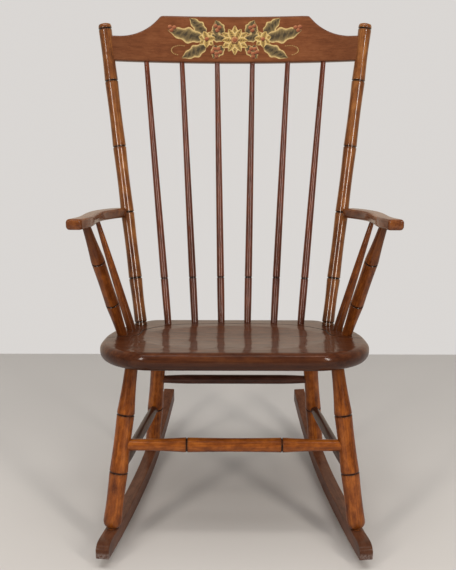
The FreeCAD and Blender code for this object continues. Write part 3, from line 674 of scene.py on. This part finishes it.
half = [FLAT_HALF * k / 8 for k in range(8)] + [FLAT_HALF - 0.0015, FLAT_HALF + 0.0015]
half += [FLAT_HALF + SCOOP_REACH * k / 12 for k in range(1, 13)] + [0.2555]
places = [-x for x in reversed(half[1:])] + half
sections = []
for x in places:
    top = crest_top(x)
    sections.append((x, crest_setback(x), (CREST_LOW + top) / 2, CREST_THICK, top - CREST_LOW))
crest = loft("crest_board", 0, sections)
ease_edges(crest, 0.0030)
soften(crest)
keep_grain(crest, (1, 2, 0), 51)
# Painted dark reflection within a few millimetres of the rim, painted shade towards both ends.
stain_and_shade = crest.data.attributes.new("stain_and_shade", "FLOAT", "POINT")
for point, mark in zip(crest.data.vertices, stain_and_shade.data):
    rim = min(crest_top(point.co.x) - point.co.z, point.co.z - CREST_LOW)
    mark.value = max(0.45 * (1 - rim / 0.0035), 0.25 * (abs(point.co.x) - 0.13) / 0.12, 0.0)
set_down(crest, BACK_PLANE)
finish_piece(crest, "crest_rail", CREST)
print("crest sections:", len(sections), "points:", len(crest.data.vertices))

# %% [markdown]
# ## Stencil on the crest
# Such crests are decorated through cut stencils: bronze powders are rubbed on tacky varnish, bright
# at a leaf's edge and fading to dark at its rib. Here every leaf, petal and berry is a small grid or
# disc, shaped in the plane of the crest and laid a hair above the bent face. A stored shade runs
# from rib to edge, and the material turns it into powder. The layout is a plain symmetrical spray.

# %% Bronze powders
def powder(name, dark, middle, bright):
    """Rubbed powder that follows the stored shade, a little uneven."""
    material, tree = new_material(name)
    shader = tree.nodes["Principled BSDF"]
    uneven = stretched_noise(tree, stored(tree, "grain", "Vector"), 420, 420, 3)
    level = weigh(tree, (stored(tree, "shade"), 1.0), (uneven, 0.5))
    level = add(tree, "Math", {"operation": "SUBTRACT"}, _0=level, _1=0.25).outputs[0]
    colour = ramp(tree, level, [(0.15, dark), (0.55, middle), (0.95, bright)])
    tree.links.new(colour, shader.inputs["Base Color"])
    shader.inputs["Roughness"].default_value = 0.5
    shader.inputs["Specular IOR Level"].default_value = 0.2
    shader.inputs["Coat Weight"].default_value = 0.6
    shader.inputs["Coat Roughness"].default_value = 0.15
    return material


OLIVE = powder("olive_powder", (0.045, 0.031, 0.015), (0.160, 0.112, 0.045), (0.56, 0.40, 0.16))
STRAW = powder("straw_powder", (0.120, 0.070, 0.020), (0.46, 0.30, 0.085), (0.66, 0.50, 0.22))
BERRY = powder("berry_powder", (0.085, 0.020, 0.008), (0.25, 0.072, 0.028), (0.42, 0.165, 0.075))
FACE = CREST_THICK / 2 + 0.0001
stencil_parts = []


def lay(part, place, angle, layer, shade, material):
    """Turn a flat shape to its angle in the crest's plane and lay it on the bent face."""
    brightness = part.data.attributes.new("shade", "FLOAT", "POINT")
    for point, mark, bright in zip(part.data.vertices, brightness.data, shade):
        mark.value = bright
        x = place[0] + point.co.x * math.cos(angle) - point.co.y * math.sin(angle)
        s = place[1] + point.co.x * math.sin(angle) + point.co.y * math.cos(angle)
        point.co = (x, crest_setback(x) - FACE - 0.00006 * layer, s)
    keep_grain(part, (1, 2, 0), layer)
    part.data.materials.append(material)
    stencil_parts.append(part)


def leaf(place, angle, length, width, layer, material=OLIVE, lobes=0.0, curl=0.0):
    """Pointed leaf, dark along its rib."""
    bpy.ops.mesh.primitive_grid_add(x_subdivisions=18, y_subdivisions=4, size=1, location=(0, 0, 0))
    part = bpy.context.object
    shade = []
    for point in part.data.vertices:
        along, side = point.co.x + 0.5, point.co.y * 2
        half = width / 2 * math.sin(math.pi * along ** 0.75) ** 0.8 if 0 < along < 1 else 0.0
        half *= 1 + lobes * math.sin(along * 6 * math.pi)
        vein = 0.22 * (1 + math.sin(along * 34 + abs(side) * 5))
        shade.append(min(1.0, abs(side) ** 1.6 + vein * (1 - abs(side)) * min(1, 3 * along)))
        point.co.xy = (length * along, side * half + curl * length * along * along)
    lay(part, place, angle, layer, shade, material)


def berry(place, radius, layer, material=BERRY):
    """Round berry, bright towards one side."""
    bpy.ops.mesh.primitive_circle_add(vertices=16, radius=radius, fill_type="TRIFAN", location=(0, 0, 0))
    part = bpy.context.object
    shade = [0.55 + 0.45 * (point.co.y - 0.4 * point.co.x) / radius for point in part.data.vertices]
    lay(part, place, 0.0, layer, shade, material)


# %% Lay out the spray
bpy.ops.object.select_all(action="DESELECT")
MIDDLE = 0.5885
for side in (1, -1):
    def mirror(x, s, angle):
        """Mirror a place and a direction for the left half."""
        return (side * x, MIDDLE + s), (angle if side > 0 else math.pi - angle)

    sprays = ((0.066, 0.004, 9, 0.074, 0.030, 3, 0.16), (0.060, 0.014, 40, 0.046, 0.024, 2, 0.14),
              (0.060, -0.012, -30, 0.056, 0.025, 2, 0.14), (0.024, 0.014, 56, 0.032, 0.020, 1, 0.1),
              (0.024, -0.012, -52, 0.034, 0.020, 1, 0.1), (0.038, 0.010, 78, 0.026, 0.016, 1, 0.1),
              (0.040, -0.010, -86, 0.028, 0.016, 1, 0.1), (0.022, 0.003, 8, 0.036, 0.018, 1, 0.1))
    for x, s, degrees, length, width, layer, lobes in sprays:
        place, angle = mirror(x, s, math.radians(degrees))
        leaf(place, angle, length, width, layer, OLIVE, lobes, 0.05 * side)
    for k in range(7):
        place, angle = mirror(0.058, 0.002, 2 * math.pi * k / 7 + 0.3)
        leaf(place, angle, 0.0180, 0.0135, 4 + k % 2, STRAW)
    berry((side * 0.058, MIDDLE + 0.002), 0.0046, 7)
    for x, s in ((0.030, -0.025), (0.038, -0.028), (0.046, -0.025), (0.034, -0.018), (0.042, -0.018),
                 (0.038, -0.034), (0.032, 0.026), (0.040, 0.029), (0.036, 0.020), (0.131, 0.019),
                 (0.125, 0.025), (0.134, 0.026)):
        berry((side * x, MIDDLE + s), 0.0044, 5 + int(x * 1000) % 3)
    for k in range(14):
        swing = math.radians(-70 + 14 * k)
        x, s = 0.112 + 0.019 * math.cos(swing), -0.022 + 0.010 * math.sin(swing)
        berry((side * x, MIDDLE + s), 0.0010, 3, STRAW)
for k in range(12):
    angle = 2 * math.pi * k / 12 + math.pi / 2
    leaf((0.0, MIDDLE), angle, 0.0310 - 0.004 * (k % 2), 0.0150, 5 + k % 2, STRAW)
berry((0.0, MIDDLE), 0.0078, 8)
for k in range(10):
    angle = 2 * math.pi * k / 10
    berry((0.0056 * math.cos(angle), MIDDLE + 0.0056 * math.sin(angle)), 0.0010, 9, STRAW)
bpy.ops.object.select_all(action="DESELECT")
for part in stencil_parts:
    part.select_set(True)
bpy.context.view_layer.objects.active = stencil_parts[0]
bpy.ops.object.join()
stencil = bpy.context.object
stencil.name = "crest_stencil"
set_down(stencil, BACK_PLANE)
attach(stencil, "root")
pieces_made.append(stencil)
print("stencil shapes:", len(stencil_parts), "points:", len(stencil.data.vertices))

# %% [markdown]
# ## Arms
# Each arm is a flat board: a blunt hand rest in front, a waist, then a sweep in to the back post.
# Its two sides are smooth curves through a few measured places. A disc's rim is moved onto that
# plan, as on the seat below, and is extruded to the board's thickness. The four corners and then
# all long edges are rounded, and the board is sloped like the arms' plane.

# %% A smooth curve through measured places
def through(places, x):
    """Value at x of a smooth curve through (x, value) places."""
    k = max(i for i in range(len(places) - 1) if places[i][0] <= x or i == 0)
    (x0, y0), (x1, y1) = places[k], places[k + 1]
    before = places[k - 1] if k > 0 else (2 * x0 - x1, 2 * y0 - y1)
    after = places[k + 2] if k + 2 < len(places) else (2 * x1 - x0, 2 * y1 - y0)
    slope0 = (y1 - before[1]) / (x1 - before[0])
    slope1 = (after[1] - y0) / (after[0] - x0)
    t = (x - x0) / (x1 - x0)
    width = x1 - x0
    return ((2 * t ** 3 - 3 * t ** 2 + 1) * y0 + (t ** 3 - 2 * t ** 2 + t) * width * slope0
            + (3 * t ** 2 - 2 * t ** 3) * y1 + (t ** 3 - t ** 2) * width * slope1)


# %% Saw out the arm and round its edges
ARM_FRONT, ARM_WIDEST = -0.203, 0.287
ARM_JOINT = Vector((0.21996, 0.14994, 0.0))
outer_side = [(0.0, 0.0), (0.2, 0.0054), (0.55, 0.0319), (0.75, 0.0413), (0.93, 0.0384), (1.03, 0.0270)]
inner_side = [(0.0, -0.0270), (0.1, -0.0273), (0.24, -0.0199), (0.5, 0.0015), (0.68, 0.0101),
              (0.84, 0.0063), (1.0, -0.0040)]


def arm_plan(share, offset):
    """Place in the arm's plan, outside the line from its front corner to the post."""
    corner = Vector((ARM_WIDEST, ARM_FRONT, 0))
    return corner.lerp(ARM_JOINT, share) + Vector((offset, 0, 0))


OUTER_END = outer_side[-1][0]
arm_rim = [arm_plan(OUTER_END * k / 40, through(outer_side, OUTER_END * k / 40)) for k in range(41)]
arm_rim += [arm_plan(1 - k / 40, through(inner_side, 1 - k / 40)) for k in range(41)]
bpy.ops.object.select_all(action="DESELECT")
bpy.ops.mesh.primitive_circle_add(vertices=len(arm_rim), radius=0.1, fill_type="NGON")
arm = bpy.context.object
arm.name = "arm_board_right"
for point, place in zip(arm.data.vertices, arm_rim):
    point.co = place
bpy.ops.object.mode_set(mode="EDIT")
bpy.ops.mesh.select_all(action="SELECT")
bpy.ops.mesh.extrude_region_move(TRANSFORM_OT_translate={"value": (0, 0, -ARM_DROP)})
bpy.ops.mesh.select_all(action="SELECT")
bpy.ops.mesh.normals_make_consistent(inside=False)
bpy.ops.object.mode_set(mode="OBJECT")
for edge in arm.data.edges:
    a, b = (arm.data.vertices[v].co for v in edge.vertices)
    corner = min((a - arm_rim[k]).to_2d().length for k in (0, 40, 41, 81))
    edge.select = (a - b).to_2d().length < 1e-6 and corner < 1e-5
bpy.ops.object.mode_set(mode="EDIT")
bpy.ops.mesh.select_mode(type="EDGE")
bpy.ops.mesh.bevel(offset=0.0055, segments=5, affect="EDGES")
bpy.ops.object.mode_set(mode="OBJECT")
ease_edges(arm, 0.0030, sharper_than=60)
for point in arm.data.vertices:
    point.co.z += on_arm(0, point.co.y).z
keep_grain(arm, (0, 2, 1), 61)
finish_pair(arm, "arm_board_left", "arm", ARM)
print("arm points:", len(arm.data.vertices))

# %% [markdown]
# ## Under the arms
# A bamboo-turned post holds up each arm near its front, with a plain rod behind it.

# %% Turn the arm posts and rods
arm_foot, arm_head = on_seat(0.216, -0.037), on_arm(0.260, -0.143, ARM_DROP)
span = (arm_head - arm_foot).length
rings = [(span * 0.31, 0.0124), (span * 0.70, 0.0124)]
profile = [(-SEAT_TENON, 0.0094, 0.0)] + bamboo((0.0, 0.0094), rings, (span, 0.0076), 0.0005)
# Darker towards the top: painted shade under the arm.
profile = darken(profile + [(span + ARM_TENON, 0.0076, 0.0)], span, 0.110, 0.60)
arm_post = turn("turned_arm_post_right", profile, 71)
stand(arm_post, arm_foot, arm_head)
finish_pair(arm_post, "turned_arm_post_left", "arm_post", RUSSET)

rod_foot, rod_head = on_seat(0.204, 0.020), on_arm(0.2645, 0.023, ARM_DROP)
span = (rod_head - rod_foot).length
start, end = (0.0, 0.0090), (span, 0.0044)
profile = [(-SEAT_TENON, start[1], 0.0), (*start, 0.0)] + bay(start, end, 0.0007, steps=8)
profile += [(*end, 0.0), (span + ARM_TENON, end[1], 0.0)]
# Darker at both ends: partly stain and partly painted shade at the seat, painted shade under the arm.
profile = darken(darken(profile, 0.0, 0.080, 0.6), span, 0.060, 0.4)
arm_rod = turn("arm_rod_right", profile, 72, sides=28)
stand(arm_rod, rod_foot, rod_head)
finish_pair(arm_rod, "arm_rod_left", "arm_spindle", RUSSET)
print("arm post:", round((arm_head - arm_foot).length, 4), "m")

# %% [markdown]
# ## Seat
# The seat is one thick plank with a heavy rolled edge. A disc is the start: its rim points are
# moved onto the plank's outline. It is extruded to the flat of the edge and then inset again and
# again with a little depth, which rolls the edge over at an even width all round. The top is
# carried inwards in rings, which slide from the outline to the oval rim of the saddle and then on
# to its middle, so that the saddle's edge can be crisp. Last, the hollow is pressed down.

# %% Outline of the plank
CORNER_X, CORNER_Y = 0.108, 0.142
SEAT_HALF, SEAT_FRONT, SEAT_BACK = 0.249, -0.243, 0.167
SADDLE = Vector((0, -0.065, 0))


def seat_outline():
    """Points round the plank, evenly spaced along it, from the middle of the front edge."""
    dense = [(0.0, SEAT_FRONT)]
    corner = (SEAT_HALF - CORNER_X, SEAT_FRONT + CORNER_Y)
    for k in range(121):
        angle = math.pi / 2 * k / 120
        dense.append((corner[0] + CORNER_X * math.sin(angle), corner[1] - CORNER_Y * math.cos(angle)))
    flank_start, flank_radius, back_corner = -0.063, 0.400, 0.036
    centre_x = SEAT_HALF - flank_radius
    corner_y = SEAT_BACK - back_corner
    corner_x = math.sqrt((flank_radius - back_corner) ** 2 - (corner_y - flank_start) ** 2) + centre_x
    meet = math.atan2(corner_y - flank_start, corner_x - centre_x)
    for k in range(81):
        angle = meet * k / 80
        dense.append((centre_x + flank_radius * math.cos(angle),
                      flank_start + flank_radius * math.sin(angle)))
    for k in range(1, 41):
        angle = meet + (math.pi / 2 - meet) * k / 40
        dense.append((corner_x + back_corner * math.cos(angle), corner_y + back_corner * math.sin(angle)))
    dense.append((0.0, SEAT_BACK))
    lengths = [0.0]
    for a, b in zip(dense, dense[1:]):
        lengths.append(lengths[-1] + math.hypot(b[0] - a[0], b[1] - a[1]))
    half_points, k = [], 0
    for step in range(97):
        want = lengths[-1] * step / 96
        while k < len(dense) - 2 and lengths[k + 1] < want:
            k += 1
        t = (want - lengths[k]) / (lengths[k + 1] - lengths[k])
        half_points.append((dense[k][0] + (dense[k + 1][0] - dense[k][0]) * t,
                            dense[k][1] + (dense[k + 1][1] - dense[k][1]) * t))
    return half_points + [(-x, y) for x, y in reversed(half_points[1:-1])]


outline = seat_outline()
print("outline points:", len(outline))

# %% Roll the edge over and carry the top to its middle
THICK, TOP_ROLL, LOW_ROLL = 0.033, 0.012, 0.017
SADDLE_RIM = 1.015


def saddle_reach(place):
    """Distance from the saddle's middle: 1 on its oval rim."""
    return math.hypot(place.x / 0.178, (place.y - SADDLE.y) / 0.140)


bpy.ops.object.select_all(action="DESELECT")
bpy.ops.mesh.primitive_circle_add(vertices=len(outline), radius=0.25, fill_type="NGON")
seat = bpy.context.object
seat.name = "seat_plank"
for point, (x, y) in zip(seat.data.vertices, outline):
    point.co = (x, y, LOW_ROLL - THICK)


def select_cap(piece, upward):
    """Select the one big flat face that looks up or down."""
    bpy.ops.object.mode_set(mode="OBJECT")
    for group in (piece.data.vertices, piece.data.edges, piece.data.polygons):
        group.foreach_set("select", [False] * len(group))
    caps = [f for f in piece.data.polygons if f.normal.z * upward > 0.9 and len(f.vertices) > 8]
    caps[0].select = True
    bpy.ops.object.mode_set(mode="EDIT")


def roll_edge(radius, steps=7):
    """Inset the selected face along a quarter circle."""
    for step in range(steps):
        a, b = (math.pi / 2 * k / steps for k in (step, step + 1))
        inwards = radius * (math.cos(a) - math.cos(b))
        outwards = radius * (math.sin(b) - math.sin(a))
        bpy.ops.mesh.inset(thickness=inwards, depth=outwards, use_even_offset=True)


bpy.ops.object.mode_set(mode="EDIT")
bpy.ops.mesh.select_mode(type="FACE")
bpy.ops.mesh.select_all(action="SELECT")
bpy.ops.mesh.extrude_region_move(TRANSFORM_OT_translate={"value": (0, 0, THICK - TOP_ROLL - LOW_ROLL)})
bpy.ops.mesh.select_all(action="SELECT")
bpy.ops.mesh.normals_make_consistent(inside=False)
select_cap(seat, 1)
roll_edge(TOP_ROLL)
for rings_left in range(8, 0, -1):
    bpy.ops.mesh.extrude_region_move(TRANSFORM_OT_translate={"value": (0, 0, 0)})
    bpy.ops.object.mode_set(mode="OBJECT")
    for point in seat.data.vertices:
        if point.select:
            out = saddle_reach(point.co)
            share = 1 + (SADDLE_RIM - out) / rings_left / out
            point.co.xy = (SADDLE + (point.co - SADDLE) * share).xy
    bpy.ops.object.mode_set(mode="EDIT")
reach = SADDLE_RIM
for wanted in [1.0, 0.985] + [0.96 - 0.05 * k for k in range(19)] + [0.02]:
    share = wanted / reach
    reach = wanted
    bpy.ops.mesh.extrude_region_move(TRANSFORM_OT_translate={"value": (0, 0, 0)})
    bpy.ops.transform.resize(value=(share, share, 1), center_override=SADDLE)
select_cap(seat, -1)
roll_edge(LOW_ROLL)
for share in (0.9, 0.7, 0.5):
    bpy.ops.mesh.extrude_region_move(TRANSFORM_OT_translate={"value": (0, 0, 0)})
    bpy.ops.transform.resize(value=(share, share, 1), center_override=SADDLE)
bpy.ops.object.mode_set(mode="OBJECT")
print("seat faces before the saddle:", len(seat.data.polygons))

# %% Press the saddle down
for point in seat.data.vertices:
    if point.co.z > -0.0001 and saddle_reach(point.co) < 1.2:
        hollow = 0.007 * (1 - saddle_reach(point.co) ** 2)
        point.co.z -= 0.5 * (hollow + math.hypot(hollow, 0.00012))
print("seat faces:", len(seat.data.polygons), "lowest:", round(min(v.co.z for v in seat.data.vertices), 4))

# %% [markdown]
# ## The gutter in the seat
# A fine round channel parts the saddle from the raised deck that carries the back. It is cut as a
# carver's veiner would: a thin tube is laid along its path and taken away from the plank. The tube
# carries a near-black material, so the channel keeps it. Painted shade darkens the plank's lower edge.

# %% Cut the gutter
gutter_places = [(-0.255, -0.081), (-0.190, -0.047), (-0.176, 0.027), (-0.118, 0.091), (0.0, 0.105),
                 (0.118, 0.091), (0.176, 0.027), (0.190, -0.047), (0.255, -0.081)]
steps = [0.0]
for a, b in zip(gutter_places, gutter_places[1:]):
    steps.append(steps[-1] + math.hypot(b[0] - a[0], b[1] - a[1]))
path_x = [(s, p[0]) for s, p in zip(steps, gutter_places)]
path_y = [(s, p[1]) for s, p in zip(steps, gutter_places)]
curve = bpy.data.curves.new("gutter_path", "CURVE")
curve.dimensions = "3D"
spline = curve.splines.new("POLY")
count = 110
spline.points.add(count - 1)
for k, point in enumerate(spline.points):
    s = steps[-1] * k / (count - 1)
    point.co = (through(path_x, s), through(path_y, s), 0.0005, 1)
curve.bevel_depth = 0.0017
curve.bevel_resolution = 3
curve.use_fill_caps = True
cutter = bpy.data.objects.new("gutter_tube", curve)
bpy.context.scene.collection.objects.link(cutter)
only(cutter)
bpy.ops.object.convert(target="MESH")
cutter = bpy.context.object
seat.data.materials.append(SEAT)
cutter.data.materials.append(GUTTER)
only(seat)
cut = seat.modifiers.new("gutter", "BOOLEAN")
cut.operation, cut.solver, cut.object = "DIFFERENCE", "EXACT", cutter
cut.material_mode = "TRANSFER"
bpy.ops.object.modifier_apply(modifier=cut.name)
bpy.data.objects.remove(cutter)
keep_grain(seat, (1, 2, 0), 81)
# Painted shade: darker towards the bottom of the plank's edge.
stain_and_shade = seat.data.attributes.new("stain_and_shade", "FLOAT", "POINT")
for point, mark in zip(seat.data.vertices, stain_and_shade.data):
    mark.value = 0.45 * max(0.0, min(1.0, (-0.006 - point.co.z) / 0.012))
set_down(seat, SEAT_PLANE)
finish_piece(seat, "seat", None, smooth=30)
print("seat materials:", [m.name for m in seat.data.materials if m], "faces:", len(seat.data.polygons))

# %% [markdown]
# ## Room, light and camera
# A plain pale floor meets a world that is pale behind the chair and dimmer in front, so that the
# varnish has something light and something dark to mirror. Light that it mirrors is a little warm.
# A broad soft lamp lights the chair from above. It is kept out of reflections, where it would lay
# a haze on the wood: a narrow strip and two tall windows draw the highlights instead. The camera
# stands where the photograph was taken from.

# %% Floor and world
bpy.ops.object.select_all(action="DESELECT")
bpy.ops.mesh.primitive_grid_add(x_subdivisions=8, y_subdivisions=8, size=1, location=(0, -1.0, 0))
floor = bpy.context.object
floor.name = "studio_floor"
floor.scale = (5.2, 3.6, 1)
bpy.ops.object.transform_apply(location=True, scale=True)
material, tree = new_material("pale_floor")
shader = tree.nodes["Principled BSDF"]
shader.inputs["Base Color"].default_value = (0.60, 0.58, 0.555, 1)
shader.inputs["Roughness"].default_value = 0.85
floor.data.materials.append(material)
floor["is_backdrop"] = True

world = bpy.data.worlds.new("pale_room")
bpy.context.scene.world = world
world.use_nodes = True
tree = world.node_tree
direction = add(tree, "TexCoord").outputs["Generated"]
depth = add(tree, "SeparateXYZ", Vector=direction).outputs["Y"]
brightness = rescale(tree, depth, 0.0, 0.85, 0.24, 0.70)
background = tree.nodes["Background"]
mirrored = add(tree, "LightPath").outputs["Is Glossy Ray"]
tint = colour_mix(tree, mirrored, (1.0, 0.965, 0.935, 1), (1.0, 0.86, 0.70, 1))
tree.links.new(tint, background.inputs["Color"])
tree.links.new(brightness, background.inputs["Strength"])


# %% Lamps
def lamp(name, place, target, size, power, colour=(1, 1, 1)):
    """A soft rectangular lamp that looks at a point."""
    data = bpy.data.lights.new(name, "AREA")
    data.shape = "RECTANGLE"
    data.size, data.size_y = size
    data.energy = power
    data.color = colour
    light = bpy.data.objects.new(name, data)
    bpy.context.scene.collection.objects.link(light)
    light.location = place
    light.rotation_euler = (Vector(target) - Vector(place)).to_track_quat("-Z", "Y").to_euler()
    return light


overhead = lamp("overhead", (0.0, -0.5, 2.5), (0.0, -0.3, 0.0), (2.6, 1.8), 24)
overhead.visible_glossy = False
lamp("ceiling_strip", (0.0, -0.7, 2.5), (0.0, -0.6, 0.0), (2.4, 0.3), 10, (1.0, 0.95, 0.90))
for name, x, power in (("window_left", -1.45, 24), ("window_right", 1.45, 30)):
    lamp(name, (x, -2.1, 1.35), (0, 0.1, 0.6), (0.32, 1.4), power, (1.0, 0.93, 0.86))

# %% Camera
camera_data = bpy.data.cameras.new("camera")
camera_data.lens = 61.52
camera_data.sensor_width = 36
camera = bpy.data.objects.new("camera", camera_data)
bpy.context.scene.collection.objects.link(camera)
camera.location = (-0.0019, -1.813, 0.963)
camera.rotation_euler = (math.radians(73.83), 0, math.radians(0.34))
bpy.context.scene.camera = camera
bpy.context.scene.view_settings.view_transform = "Standard"

# %% Print the visual size and the triangle count
low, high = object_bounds()
print("visual size:", [round(v, 4) for v in high - low], "triangles:",
      sum(len(f.vertices) - 2 for p in pieces_made for f in p.data.polygons))
